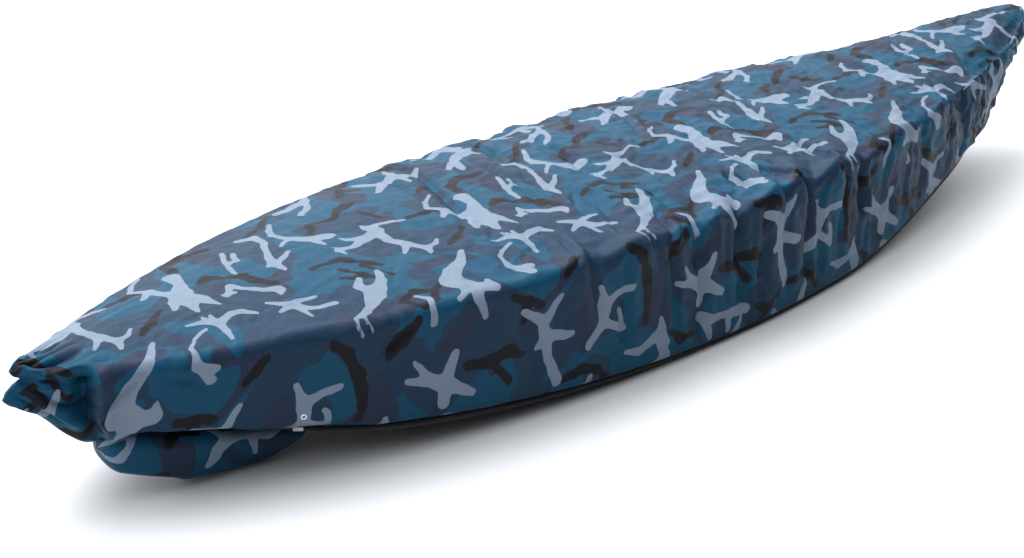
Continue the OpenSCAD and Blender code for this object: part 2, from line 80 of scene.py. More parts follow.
# ---------------------------------------------------------------- hull lines, in metres
WIDTH = round(cad_box[1][1] - cad_box[0][1], 4)
TIP_X = round(cad_box[1][0], 4)
HALF = TIP_X + 0.004                # where the plan curves would close
HEM_X = 1.29012                     # where the open hem turns across the hull
HEM_INSET, HEM_TURN_Y = 0.016, 0.040
HEM_Z = 0.0143                      # height of the hem amidships
GUNWALE_Z, BOW_DROP, STERN_RISE = 0.328, 0.028, 0.104
CROWN_RISE = 0.029                  # of the deck's middle over the gunwales
LEAST_DEPTH = 0.062                 # of the stern panel at its tip
SLACK, SLACK_X, SLACK_RUN = 0.062, 0.713 * HALF, 0.240      # cloth hanging low ahead of the stern
SHOULDER_R, BILGE_R, BILGE_GROWTH = 0.028, 0.012, 0.046


def smooth(t):
    t = np.clip(t, 0.0, 1.0)
    return t * t * (3 - 2 * t)


def bow_u(x):
    return np.clip(-x / HALF, 0, 1)


def stern_u(x):
    return np.clip(x / HALF, 0, 1)


def half_width(x):
    fore = np.power(1 - np.power(bow_u(x), 2.74), 0.894)
    aft = np.power(1 - np.power(stern_u(x), 1.46), 0.606)
    return WIDTH / 2 * np.where(x < 0, fore, aft)


def gunwale_z(x):
    return GUNWALE_Z - BOW_DROP * bow_u(x) ** 2 + STERN_RISE * stern_u(x) ** 2


def crown_z(x):
    return gunwale_z(x) + CROWN_RISE * np.power(half_width(x) * 2 / WIDTH, 0.8)


def bottom_z(x):
    """Height of the hem, and past its ends of the underside of the end panels."""
    b, s = bow_u(x), stern_u(x)
    fore = HEM_Z + 0.155 * b ** 1.84 + 0.09 * np.clip((b - 0.9) / 0.1, 0, None) ** 2
    aft = np.minimum(HEM_Z + 0.532 * np.clip((s - 0.2) / 0.8, 0, None) ** 1.82, gunwale_z(x) - LEAST_DEPTH)
    return np.where(x < 0, fore, aft - SLACK * np.exp(-((x - SLACK_X) / SLACK_RUN) ** 2))


def hem_y(x):
    k = 1 - np.minimum(1, np.abs(x) / HEM_X) ** 14
    return (half_width(x) - HEM_INSET) * k + HEM_TURN_Y * (1 - k)


def shoulder_r(x):
    height = gunwale_z(x) - bottom_z(x)
    return np.minimum(SHOULDER_R, np.minimum(0.4 * half_width(x), 0.35 * height))


def bilge_r(x):
    grown = BILGE_R + BILGE_GROWTH * (np.abs(x) / HALF) ** 2
    return np.minimum(np.minimum(grown, 0.5 * half_width(x)), 0.3 * (crown_z(x) - bottom_z(x)))


# ---------------------------------------------------------------- print on the cloth
REPEAT_X, REPEAT_V = 0.727, 0.96
# Repeats along the cloth: at x = 0, for each metre, and closing up towards the stern
PRINT_START, PRINT_RATE, PRINT_CLOSING = 1.8566, 1.375, 0.0655
PRINT_ROUND, BOW_SKEW, STERN_SKEW = 0.074, 0.112, 0.012     # shift of the print round the girth, in m
LIGHT_INSET = 0.0006                # how far the light ink falls short of its drawn edge
LIMB_BLEND, FIGURE_BLEND = 4.0, 5.0     # radius in mm where limbs run into each other
REACH_X, REACH_V, FAR = 190, 220, 1e3   # mm round a figure's anchor that it can reach, and a far distance
# Each figure: anchor (x, v) in mm on the repeat, then limbs of (x, v, radius) in mm
LIGHT = [
    ((0, 0), [[(38, 96, 21), (30, 52, 12), (8, 10, 24), (-4, -10, 26), (22, -48, 15), (37, -86, 6)],
              [(-4, -10, 24), (-6, -48, 16), (-12, -82, 7)], [(-4, -8, 20), (-28, -22, 14), (-44, -52, 7)],
              [(-4, 10, 18), (-26, 34, 13), (-34, 66, 11), (-62, 92, 8), (-42, 128, 6), (-4, 158, 5)],
              [(-34, 66, 11), (-66, 34, 7)]]),
    ((165, 76), [[(-22, -56, 5), (-17, -26, 7), (-6, 8, 7), (20, 64, 6)],
                 [(-6, -2, 6), (16, 0, 7), (34, 44, 6)]]),
    ((232, 12), [[(22, 182, 9), (52, 172, 13), (54, 128, 8), (28, 82, 7), (8, 34, 9), (-3, 0, 14),
                  (2, -34, 5)],
                 [(-3, 0, 11), (-20, -4, 6)], [(6, 2, 8), (34, 22, 7), (58, 44, 6)]]),
    ((362, 92), [[(0, 148, 6), (-27, 107, 8), (-43, 66, 9), (-26, 26, 13), (2, -2, 18), (34, -10, 18),
                  (48, -8, 13)],
                 [(2, -8, 12), (8, -50, 6)], [(-30, 22, 9), (-50, 12, 6), (-68, -6, 5)]]),
    ((474, 22), [[(20, 74, 5), (22, 54, 12), (28, 28, 15), (-20, 2, 15), (-54, -18, 9), (-88, -22, 8),
                  (-104, -24, 8), (-100, -48, 5)], [(-88, -20, 7), (-104, -4, 4)],
                 [(-24, 6, 13), (-54, 18, 8), (-62, 30, 5)],
                 [(26, 50, 11), (46, 56, 8), (86, 50, 7), (110, 42, 5)],
                 [(22, 24, 14), (17, -26, 11), (32, -66, 11), (12, -90, 6), (0, -104, 4)],
                 [(32, -66, 11), (54, -104, 9), (46, -130, 5)], [(54, -104, 8), (80, -98, 6), (98, -80, 5)]]),
    ((127, -70), [[(-58, 6, 7), (-28, 42, 9), (-12, 14, 7), (14, -14, 9), (42, -24, 15), (34, -46, 6)],
                  [(-62, 12, 6), (-36, 12, 6)]]),
    ((-7, -147), [[(-54, 28, 5), (-24, 20, 7), (2, 0, 12), (38, 13, 10), (64, 12, 9), (84, -10, 6)],
                  [(-2, 6, 8), (-17, 42, 5)], [(2, 6, 7), (5, 34, 5)],
                  [(2, -4, 9), (-1, -32, 8), (-8, -62, 5)]]),
    ((152, -168), [[(-38, 34, 5), (-20, 17, 8), (0, 0, 14), (22, -22, 9), (50, -30, 7), (74, -30, 8)],
                   [(0, 6, 10), (26, 14, 7), (58, 12, 6)], [(0, 0, 11), (-34, -10, 6)],
                   [(0, -4, 10), (8, -54, 5)]]),
    ((316, -200), [[(60, 74, 7), (42, 34, 11), (14, 8, 18), (-2, -6, 22), (-24, -28, 15), (-52, -52, 8),
                    (-90, -68, 5), (-98, -90, 4), (-92, -108, 4)], [(10, 64, 6), (-12, 34, 11), (-2, 4, 16)],
                   [(-52, -52, 8), (-72, -60, 5), (-74, -84, 4), (-68, -104, 4)]]),
    ((490, -230), [[(87, 100, 7), (56, 62, 11), (10, 32, 18), (-12, 0, 26), (20, -38, 17), (48, -46, 16),
                    (52, -24, 6)], [(10, -34, 15), (2, -70, 12), (14, -108, 9)],
                   [(-4, -30, 12), (-20, -48, 8), (-42, -60, 6)]]),
    ((-93, -222), [[(54, 70, 5), (18, 57, 5), (-4, 33, 5), (-10, 0, 10), (12, -44, 11)],
                   [(4, -16, 9), (27, -28, 7)]]),
    ((384, -286), [[(-8, 37, 6), (10, 20, 7), (-2, -12, 7), (-4, -40, 9)]]),
    ((405, -460), [[(-72, 66, 6), (-38, 22, 12), (-2, 0, 20), (36, -22, 13), (64, -36, 10)],
                   [(-88, 30, 8), (-50, 18, 10), (-6, 0, 16)], [(-2, 4, 16), (24, 60, 11)],
                   [(-2, -4, 18), (-6, -44, 14)]]),
    ((-72, -428), [[(-54, 74, 9), (-8, 44, 13), (0, 6, 16), (8, -50, 12), (32, -106, 15)],
                   [(4, 40, 12), (40, 84, 7)], [(0, 8, 14), (48, -6, 11), (70, -8, 8)],
                   [(0, 0, 14), (-22, -16, 7)]]),
    ((96, -428), [[(-14, 70, 7), (-6, 44, 10), (0, 26, 16), (34, 36, 9), (74, 36, 8)],
                  [(0, 26, 16), (-4, -16, 14), (-50, -52, 12)],
                  [(0, -16, 11), (28, -36, 9), (54, -52, 9), (46, -12, 7), (40, -2, 6)]]),
    ((484, -566), [[(-76, 22, 13), (-30, 10, 10), (20, 8, 12), (74, -2, 13)], [(-70, 14, 10), (-54, -30, 9)],
                   [(10, 4, 10), (8, -32, 9)]]),
    ((240, -540), [[(26, 44, 6), (28, 10, 16), (-36, -10, 12), (-84, 2, 6)], [(28, 10, 14), (44, -22, 13)]]),
    ((14, 322), [[(-88, -66, 7), (-66, -46, 11), (-24, -6, 16), (12, 6, 20), (52, 2, 22), (86, 14, 9)],
                 [(-40, -16, 12), (-84, 30, 11)], [(20, 12, 14), (30, 54, 11), (40, 84, 7)],
                 [(20, -4, 13), (20, -46, 7)]]),
    ((240, 338), [[(-94, -66, 8), (-52, -34, 12), (0, 0, 20), (44, 30, 16), (20, 66, 8)],
                  [(-44, -30, 11), (-64, -84, 9)], [(20, 14, 14), (60, -10, 8)]]),
    ((474, 304), [[(66, 74, 6), (40, 34, 13), (-32, 2, 12), (-60, -6, 9)],
                  [(40, 34, 11), (12, -22, 8), (-28, -58, 8)]]),
]
BROWN = [
    ((120, -12), [[(-60, 34, 10), (-33, 50, 10), (-8, 26, 11), (26, 12, 15), (34, -26, 15), (58, -56, 10)]]),
    ((340, -92), [[(-68, 40, 9), (-34, 46, 8), (6, 52, 10), (26, 26, 10), (60, -8, 7)],
                  [(-20, 6, 7), (6, -40, 8)], [(-42, -28, 6), (18, -54, 7)], [(26, 0, 8), (52, -60, 7)]]),
    ((630, 64), [[(-34, 8, 10), (0, 6, 8), (34, 20, 13), (50, 2, 10)]]),
    ((616, -64), [[(-38, -30, 7), (-4, -4, 9), (38, 26, 8)]]),
    ((400, -250), [[(-56, -2, 9), (-16, 18, 8), (20, 4, 8), (58, 28, 8)],
                   [(-56, -8, 7), (-30, -36, 8), (6, -22, 8), (20, 2, 7)]]),
    ((312, -338), [[(38, 28, 9), (-4, -2, 18), (-32, -28, 11)]]),
    ((196, -390), [[(-36, 90, 9), (-2, 50, 13), (12, 2, 15), (20, -44, 12), (12, -92, 9)]]),
    ((512, -446), [[(-58, 12, 11), (0, 6, 15), (50, 18, 15), (84, -2, 8)], [(14, -6, 10), (48, -48, 9)]]),
    ((84, 178), [[(-92, 14, 9), (-54, 42, 12)],
                 [(-26, -58, 11), (-20, -10, 15), (26, 22, 12), (92, 14, 10)]]),
    ((488, 182), [[(-104, -62, 7), (-68, -14, 8), (-12, -14, 9), (18, 20, 12), (72, 52, 15)],
                  [(50, -20, 8), (66, -74, 9)]]),
    ((330, 236), [[(62, 66, 8), (0, -8, 8), (-46, -36, 7)]]),
    ((4, -294), [[(-22, -14, 9), (20, 14, 10)]]),
    ((610, -330), [[(-40, 16, 8), (0, 0, 12), (36, -20, 9)], [(0, 0, 10), (-10, -46, 8)]]),
    ((40, -540), [[(-60, 0, 10), (-14, 12, 14), (40, -10, 10), (60, -40, 8)]]),
    ((330, -566), [[(-30, 26, 8), (0, 0, 12), (46, -6, 8)]]),
    ((620, -580), [[(-30, 10, 10), (10, -8, 12), (44, 20, 8)]]),
    ((600, 330), [[(-30, -40, 9), (0, 0, 12), (36, 44, 9)], [(0, 0, 10), (44, -12, 8)]]),
]


def soft_min(a, b, k):
    """The smaller of two distances, blended over k."""
    h = np.clip(0.5 + 0.5 * (b - a) / k, 0, 1)
    return b + (a - b) * h - k * h * (1 - h)


def limb_distance(x, v, limb):
    """Distance in mm to a chain of tapered limbs, negative inside."""
    out = np.full(x.shape, FAR)
    for (ax, ay, ar), (bx, by, br) in zip(limb[:-1], limb[1:]):
        ex, ey = bx - ax, by - ay
        t = np.clip(((x - ax) * ex + (v - ay) * ey) / (ex * ex + ey * ey), 0, 1)
        d = np.hypot(x - ax - t * ex, v - ay - t * ey) - (ar + (br - ar) * t)
        out = soft_min(out, d, LIMB_BLEND)
    return out


def figures(px, pv, table):
    """Least distance in metres to any figure of the repeating table, up to 30 mm."""
    out = np.full(px.shape, 30.0)
    rx, rv = REPEAT_X * 1000, REPEAT_V * 1000
    for (cx, cv), limbs in table:
        x = (px * 1000 - cx + rx / 2) % rx - rx / 2
        v = (pv * 1000 - cv + rv / 2) % rv - rv / 2
        near = (np.abs(x) < REACH_X) & (np.abs(v) < REACH_V)
        if not near.any():
            continue
        d = np.full(near.sum(), FAR)
        for limb in limbs:
            d = soft_min(d, limb_distance(x[near], v[near], limb), FIGURE_BLEND)
        out[near] = np.minimum(out[near], d)
    return out / 1000


def lattice_noise(x, v, cell, seed):
    """Gradient noise that repeats with the print, about -1 to 1."""
    nx, nv = max(2, round(REPEAT_X / cell)), max(2, round(REPEAT_V / cell))
    angle = np.random.RandomState(seed).rand(nx, nv) * 2 * np.pi
    slope_x, slope_v = np.cos(angle), np.sin(angle)
    fx, fv = x / REPEAT_X * nx, v / REPEAT_V * nv
    ix, iv = np.floor(fx).astype(int), np.floor(fv).astype(int)
    tx, tv = fx - ix, fv - iv
    ux, uv = smooth(tx), smooth(tv)

    def corner(dx, dv):
        a, b = (ix + dx) % nx, (iv + dv) % nv
        return slope_x[a, b] * (tx - dx) + slope_v[a, b] * (tv - dv)

    low = corner(0, 0) * (1 - ux) + corner(1, 0) * ux
    high = corner(0, 1) * (1 - ux) + corner(1, 1) * ux
    return (low * (1 - uv) + high * uv) * 1.6


def print_fields(x, v):
    """The four fields of the print at cloth coordinates x along and v round, in metres."""
    bow_skew = BOW_SKEW * smooth((-0.52 - x) / 0.85)
    px = REPEAT_X * (PRINT_START + PRINT_RATE * x - PRINT_CLOSING * x * x)
    pv = v + PRINT_ROUND - bow_skew + STERN_SKEW * np.clip(x, 0, None)
    wx = px + 0.020 * lattice_noise(px, pv, 0.12, 3) + 0.008 * lattice_noise(px, pv, 0.05, 4)
    wv = pv + 0.020 * lattice_noise(px, pv, 0.12, 5) + 0.008 * lattice_noise(px, pv, 0.05, 6)
    teal = lattice_noise(wx, wv, 0.150, 11) + 0.55 * lattice_noise(wx, wv, 0.075, 12) + 0.02
    mauve = lattice_noise(wx, wv, 0.110, 21) + 0.5 * lattice_noise(wx, wv, 0.060, 22) - 0.46
    jx = px + 0.0022 * lattice_noise(px, pv, 0.022, 31)
    jv = pv + 0.0022 * lattice_noise(px, pv, 0.022, 32)
    smoky = 0.004 * lattice_noise(px, pv, 0.030, 41) + 0.003 * lattice_noise(px, pv, 0.014, 42)
    return {"light": figures(jx, jv, LIGHT) + LIGHT_INSET, "brown": figures(jx, jv, BROWN) + smoky,
            "teal": teal, "mauve": mauve}


# ---------------------------------------------------------------- folds
# Shoulder of the near side: x, lift, half width and lean over the deck
PEAKS = [(-1.18, 0.010, 0.070, 0.2), (-0.93, 0.005, 0.060, 0.4), (-0.592, 0.020, 0.034, 0.9),
         (-0.43, 0.017, 0.050, 0.8), (-0.19, 0.013, 0.026, 1.0), (0.005, 0.026, 0.036, 1.1),
         (0.09, 0.034, 0.034, 1.3), (0.255, 0.027, 0.036, 1.2), (0.56, 0.012, 0.050, 0.6),
         (0.83, 0.018, 0.048, 0.5), (1.07, 0.010, 0.045, 0.4)]
DIPS = [(-0.525, 0.012, 0.024, 0.9), (-0.245, 0.016, 0.028, 0.9), (-0.105, 0.020, 0.026, 1.0),
        (0.175, 0.012, 0.020, 1.2), (0.405, 0.024, 0.036, 0.8), (0.70, 0.008, 0.035, 0.5),
        (0.95, 0.010, 0.035, 0.5)]
# Pleats down the sides: x at the shoulder, lean to the hem, depth, half width, start and end of 0 to 1 down
PLEATS = [(-0.99, -0.05, 0.004, 0.020, 0.1, 0.7), (-0.74, 0.04, 0.004, 0.018, 0.2, 0.8),
          (-0.55, 0.05, 0.010, 0.016, 0.0, 0.85), (-0.47, 0.02, 0.006, 0.013, 0.1, 0.8),
          (-0.37, 0.03, 0.006, 0.014, 0.0, 0.9), (-0.335, 0.05, 0.008, 0.012, 0.1, 0.9),
          (-0.235, 0.03, 0.012, 0.014, 0.0, 0.9), (-0.16, 0.03, 0.006, 0.011, 0.1, 0.8),
          (-0.10, 0.03, 0.012, 0.015, 0.0, 0.9), (-0.03, 0.02, 0.007, 0.012, 0.1, 0.9),
          (0.045, 0.04, 0.008, 0.012, 0.0, 0.9), (0.135, 0.04, 0.016, 0.013, 0.0, 0.9),
          (0.20, 0.02, 0.008, 0.012, 0.1, 0.9), (0.30, 0.00, 0.010, 0.014, 0.0, 0.9),
          (0.405, 0.01, 0.018, 0.013, 0.0, 0.92), (0.50, 0.00, 0.008, 0.014, 0.1, 0.9),
          (0.62, 0.00, 0.008, 0.014, 0.0, 0.9), (0.72, 0.01, 0.009, 0.014, 0.0, 0.9),
          (0.87, 0.01, 0.009, 0.014, 0.0, 0.95), (0.985, 0.00, 0.010, 0.013, 0.0, 0.95),
          (1.10, 0.00, 0.009, 0.012, 0.0, 1.0), (1.20, 0.01, 0.008, 0.011, 0.0, 1.0),
          (1.32, 0.01, 0.006, 0.010, 0.0, 1.0), (1.42, 0.01, 0.005, 0.009, 0.0, 1.0)]
# Valleys over the deck: x at the starboard edge, x at the port edge, depth, half width
SAGS = [(-1.02, -1.12, 0.003, 0.030), (-0.80, -0.88, 0.003, 0.025), (-0.50, -0.71, 0.009, 0.024),
        (-0.42, -0.53, 0.007, 0.018), (-0.27, -0.40, 0.010, 0.026), (-0.16, -0.30, 0.006, 0.016),
        (-0.05, -0.14, 0.009, 0.022), (0.03, 0.00, 0.006, 0.012), (0.17, 0.08, 0.007, 0.020),
        (0.33, 0.22, 0.008, 0.022), (0.50, 0.40, 0.007, 0.022), (0.68, 0.60, 0.006, 0.020),
        (0.88, 0.82, 0.006, 0.020), (1.05, 1.02, 0.005, 0.018), (1.18, 1.17, 0.004, 0.014)]
# For the near side and the far one: side, shift along x, share of the depth
PEAK_SIDES = ((1.0, 0.0, 1.0), (0.0, 0.07, 0.20))
PLEAT_SIDES = ((1.0, 0.0, 1.0), (0.0, -0.045, 0.8))
DECK_SPAN = 0.72                    # girth of the deck that the valleys cross


def folds(x, q, s, v, near):
    """Outward and upward moves of the cloth. q is the distance in m inboard of the shoulder on the deck
    (negative down the side), s runs from 0 at the shoulder to 1 at the hem, near is 1 on port and 0 on
    starboard, where the same folds come again a little shifted and weaker."""
    out = np.zeros(x.shape)
    lift = np.zeros(x.shape)
    deck = np.clip(q, 0, None)
    side = np.clip(s, 0, 1)
    girth_fade = 1 - smooth((side - 0.72) / 0.22)
    for which, sign in ((PEAKS, 1.0), (DIPS, -1.0)):
        for x0, a, w, lean in which:
            for near_side, shift, gain in PEAK_SIDES:
                pick = near == near_side
                c = x0 + shift + lean * deck * 0.75 + 0.05 * side
                g = np.exp(-np.abs((x - c) / (w * (1 + 1.5 * side + 3.0 * deck))) ** 1.6)
                body = np.exp(-(deck / 0.060) ** 1.3) * (1 - smooth(side / 0.55))
                lift += np.where(pick, sign * a * gain * g * body, 0)
                out += np.where(pick, sign * a * gain * 0.45 * g * smooth(side / 0.15) * girth_fade
                                * (1 - 0.6 * side), 0)
    for x0, lean, a, w, s0, s1 in PLEATS:
        a = a * (1.0 if x0 < 0.45 else 0.6 if x0 < 1.05 else 0.40)      # shallower towards the stern
        for near_side, shift, gain in PLEAT_SIDES:
            pick = near == near_side
            c = x0 + shift + lean * side + 0.006 * np.sin(9 * side + 40 * x0)
            dx = (x - c) / (w * (0.65 + 0.9 * side))
            valley = 1.25 * np.exp(-np.abs(dx) ** 1.05) - 0.55 * np.exp(-((dx - 1.7) / 0.9) ** 2)
            band = smooth((s - s0 + 0.10) / 0.16) * (1 - smooth((s - s1 + 0.14) / 0.16))
            out -= np.where(pick, a * gain * valley * band * np.minimum(1, girth_fade + 0.25 * (x > 1.0)), 0)
    across = np.clip(0.5 + v / DECK_SPAN, 0, 1)     # 0 at the port edge of the deck, 1 at starboard
    for xs, xp, a, w in SAGS:
        c = xp + (xs - xp) * across + 0.008 * np.sin(14 * across + 30 * xs)
        dx = (x - c) / (w * (0.8 + 0.5 * across))
        valley = np.exp(-np.abs(dx) ** 1.1) - 0.45 * np.exp(-((dx - 1.8) / 1.0) ** 2)
        lift -= a * valley * smooth(q / 0.05) * (0.55 + 0.45 * np.sin(5 * across + 9 * xs) ** 2) * (
            1 - 0.7 * smooth((across - 0.80) / 0.18))
    # the far edge hangs a little between hard points amidships
    amidships = np.exp(-((x + 0.12) / 0.36) ** 2) * np.exp(-(deck / 0.10) ** 2) * (1 - side)
    lift -= 0.007 * np.sin((x + 0.1) * 16) ** 2 * amidships * (near < 0.5)
    return out, lift


# Sharp creases, in cloth coordinates: x, v at both ends, depth, half width
CREASES = [(-0.493, 0.330, -0.653, -0.121, 0.0050, 0.007), (-0.595, 0.310, -0.640, 0.021, 0.0035, 0.006),
           (-0.270, 0.340, -0.337, 0.124, 0.0040, 0.006), (-0.542, -0.262, -0.590, -0.380, 0.0060, 0.007),
           (-0.020, 0.060, -0.128, -0.038, 0.0030, 0.006), (-0.285, -0.300, -0.330, -0.410, 0.0060, 0.007),
           (0.175, 0.301, 0.044, 0.061, 0.0035, 0.006), (0.117, 0.131, 0.066, 0.021, 0.0030, 0.006),
           (0.010, -0.240, -0.011, -0.370, 0.0060, 0.007), (-1.554, -0.180, -1.450, -0.150, 0.0050, 0.006),
           (-1.421, -0.170, -1.339, -0.250, 0.0040, 0.006), (-1.004, -0.280, -1.040, -0.420, 0.0040, 0.006),
           (-0.960, -0.330, -1.060, -0.360, 0.0030, 0.006), (0.430, 0.280, 0.330, -0.080, 0.0035, 0.007),
           (0.640, 0.230, 0.560, -0.120, 0.0030, 0.007), (0.890, 0.180, 0.840, -0.100, 0.0030, 0.006),
           (-0.160, 0.250, -0.250, -0.060, 0.0035, 0.006), (-0.380, 0.200, -0.470, -0.160, 0.0035, 0.007),
           (0.300, -0.200, 0.262, -0.400, 0.0055, 0.007), (0.090, -0.240, 0.135, -0.420, 0.0060, 0.007)]
SMALL_CREASES = 260


def crease_field(x, v):
    """Depth of the sharp creases: the drawn ones and many small ones, heavier amidships."""
    out = np.zeros(x.shape)
    rng = np.random.RandomState(77)
    small = []
    for _ in range(SMALL_CREASES):
        cx, cv = rng.uniform(-1.45, 1.55), rng.uniform(-0.64, 0.64)
        turn = rng.normal(1.15, 0.45) if abs(cv) < 0.33 else rng.normal(1.5, 0.35)
        run, depth = rng.uniform(0.02, 0.09), rng.uniform(0.0006, 0.0022)
        if cx < -0.75:
            depth *= 0.6
        if not -0.55 < cv < 0.1:
            depth *= 0.7
        small.append((cx - run * math.cos(turn), cv - run * math.sin(turn),
                      cx + run * math.cos(turn), cv + run * math.sin(turn), depth, 0.007))
    for x0, v0, x1, v1, depth, w in CREASES + small:
        ex, ev = x1 - x0, v1 - v0
        span = math.hypot(ex, ev)
        t = ((x - x0) * ex + (v - v0) * ev) / span ** 2
        d = ((v - v0) * ex - (x - x0) * ev) / span + 0.10 * span * (t - 0.5) ** 2
        w = max(w, 0.0085) if depth > 0.0025 else w     # deep ones are wider, so that both skins fit
        close = (t > -0.1) & (t < 1.1) & (np.abs(d) < 6 * w)
        tt, dd = t[close], d[close] / w
        ends = smooth((tt + 0.1) / 0.3) * smooth((1.1 - tt) / 0.3)
        out[close] -= depth * ends * (np.exp(-np.abs(dd) ** 1.5) - 0.50 * np.exp(-((dd - 1.9) / 1.1) ** 2))
    return out


def crinkle(x, v):
    """Small creases that are geometry, a few millimetres apart to a few centimetres."""
    large = lattice_noise(x + 0.25 * v, v * 0.35, 0.070, 51)
    middle = lattice_noise(x * 0.5 - 0.5 * v, v + 0.3 * x, 0.045, 52)
    small = lattice_noise(x + 0.3 * v, v * 0.6 - 0.2 * x, 0.028, 53)
    ridges = 0.0026 * (1 - 2.6 * np.abs(large)) + 0.0014 * (1 - 3 * np.abs(middle))
    return ridges + 0.0008 * (1 - 3 * np.abs(small)) - 0.0016


# ---------------------------------------------------------------- the cloth grid
# Points round half a section: over the deck, the shoulder, the side, the lower edge and the turned-in lip
N_DECK, N_ARC, N_SIDE, N_BILGE, N_LIP = 56, 8, 38, 8, 4
N_HALF = N_DECK + N_ARC + N_SIDE + N_BILGE + N_LIP


def half_section(x, lip):
    """Half section at each x, from the crown to the lip: y and z, and the distance round from the crown."""
    w, zc, zg, zb = half_width(x), crown_z(x), gunwale_z(x), bottom_z(x)
    q, r = shoulder_r(x), bilge_r(x)
    ys, zs = [], []
    for d in np.linspace(0, 1, N_DECK + 1)[:-1]:
        ys.append((w - q) * d)
        zs.append(zc - (zc - zg) * d ** 2.2)
    for a in np.linspace(math.pi / 2, 0, N_ARC + 1)[:-1]:
        ys.append(w - q + q * math.cos(a))
        zs.append(zg - q + q * math.sin(a))
    for t in np.linspace(0, 1, N_SIDE + 1)[:-1]:
        ys.append(w)
        zs.append((zg - q) * (1 - t) + (zb + r) * t)
    for a in np.linspace(0, -math.pi / 2, N_BILGE + 1)[:-1]:
        ys.append(w - r + r * math.cos(a))
        zs.append(zb + r + r * math.sin(a))
    for t in np.linspace(0, 1, N_LIP + 1):
        ys.append((w - r) * (1 - t) + lip * t)
        zs.append(zb + 0 * w)
    y, z = np.stack(ys, 1), np.stack(zs, 1)
    steps = np.hypot(np.diff(y, axis=1), np.diff(z, axis=1))
    return y, z, np.concatenate([np.zeros((len(x), 1)), np.cumsum(steps, 1)], 1)


STEP, TIP_STATIONS, LIP = 0.0066, 74, 0.005
tip = HEM_X + (TIP_X - HEM_X) * np.sin(np.linspace(0, math.pi / 2, TIP_STATIONS))
mid = np.linspace(-HEM_X, HEM_X, round(2 * HEM_X / STEP))
X = np.concatenate([-tip[::-1], mid[1:-1], tip])
I_BOW, I_STERN = len(tip) - 1, len(tip) + len(mid) - 2
lip = np.where(np.abs(X) <= HEM_X + 1e-6, hem_y(X) - LIP, 0.0)
Y, Z, RUN = half_section(X, lip)
SHOULDER = N_DECK + N_ARC // 2
HEM_I = N_DECK + N_ARC + N_SIDE + N_BILGE


def full(a, sign):
    """A half section and its mirror image as one row of points."""
    return np.concatenate([sign * a[:, :0:-1], a], 1)


# Grid fields: position, girth from the crown, distance inboard of the shoulder, and share of the side
gx = np.repeat(X[:, None], 2 * N_HALF + 1, 1)
gy, gz = full(Y, -1), full(Z, 1)
gv = full(RUN, -1)
shoulder = RUN[:, SHOULDER][:, None]
length = (RUN[:, HEM_I] - RUN[:, SHOULDER])[:, None]
gq = shoulder - np.abs(gv)
gs = (np.abs(gv) - shoulder) / length
near = (gv < 0).astype(float)               # 1 on the near, port side


def normals(P):
    """Unit normals of a grid of points, from its own neighbours."""
    du = np.gradient(P, axis=0)
    dv = np.gradient(P, axis=1)
    n = np.cross(du, dv)
    return n / np.maximum(np.linalg.norm(n, axis=2, keepdims=True), 1e-9)


BASE = np.stack([gx, gy, gz], 2)
outward = normals(BASE)
FLIP = outward[len(X) // 2, N_HALF, 2] < 0      # whether the grid's own winding looks inward
if FLIP:
    outward = -outward
depth_here = crown_z(gx) - bottom_z(gx)
tall = np.clip((gz - bottom_z(gx)) / np.maximum(depth_here, 0.02), 0, 1)     # 0 at the bottom, 1 at the crown
round_pos = gv / np.maximum(RUN[:, -1][:, None], 1e-6)


def bell(d, width, power=2):
    return np.exp(-np.abs(d / width) ** power)


# folds and creases, which fade out at the tips, at the lip and round the bow eyelets
EYELET_X, EYELET_Z = -1.190, 0.145
STRAP_XS, STRAP_DENT = (-0.52, 0.42), 0.0012    # where the straps are sewn on, and the deepest dent there
tip_fade = 1 - smooth((np.abs(gx) - 1.50) / 0.12)
lip_fade = 1 - smooth((np.abs(gv) - shoulder - length * 0.80) / (length * 0.16))
eyelet_fade = 1 - np.exp(-(((gx - EYELET_X) / 0.045) ** 2 + ((gz - EYELET_Z) / 0.04) ** 2))
strap = sum(bell(gx - x, 0.034, 4) for x in STRAP_XS) * smooth((gs - 0.42) / 0.14)
out, lift = folds(gx, gq, gs, gv, near)
crinkled = 0.45 + 0.9 * smooth((gx + 0.75) / 0.5) * (1 - 0.3 * smooth(gq / 0.1))
creased = 1.1 + 0.9 * smooth((gx + 0.75) / 0.4)
out = out + crinkle(gx, gv) * crinkled + crease_field(gx, gv) * creased
out = np.where(out < -STRAP_DENT, out * (1 - strap) - STRAP_DENT * strap, out)
out = out * lip_fade * eyelet_fade * tip_fade

# gathers that run to the tip of the nose
nose = smooth((-gx - 1.46) / 0.12)
gather = np.abs(np.sin(round_pos * 15 + 1.3 * np.sin(gx * 23) + 0.7)) - 0.5
fine = np.abs(np.sin(round_pos * 37 - gx * 31)) - 0.5
out += nose * np.minimum(half_width(gx) * 0.30, 0.013) * gather
out += nose * np.minimum(half_width(gx) * 0.1, 0.004) * fine

# ribs down the stern, and a rounder shoulder towards it
stern = smooth((gx - 1.12) / 0.30)
ribs = np.sin(round_pos * 22 + 1.1 * np.sin(gx * 17)) ** 2 - 0.5
out += stern * np.minimum(half_width(gx) * 0.08, 0.0022) * ribs * smooth((0.03 - gq) / 0.03)
rounding = smooth((gx - 0.55) / 0.75) * np.minimum(0.032, 0.16 * half_width(gx))
out -= rounding * bell(gq - 0.006, 0.050 * (0.4 + half_width(gx) / 0.3))

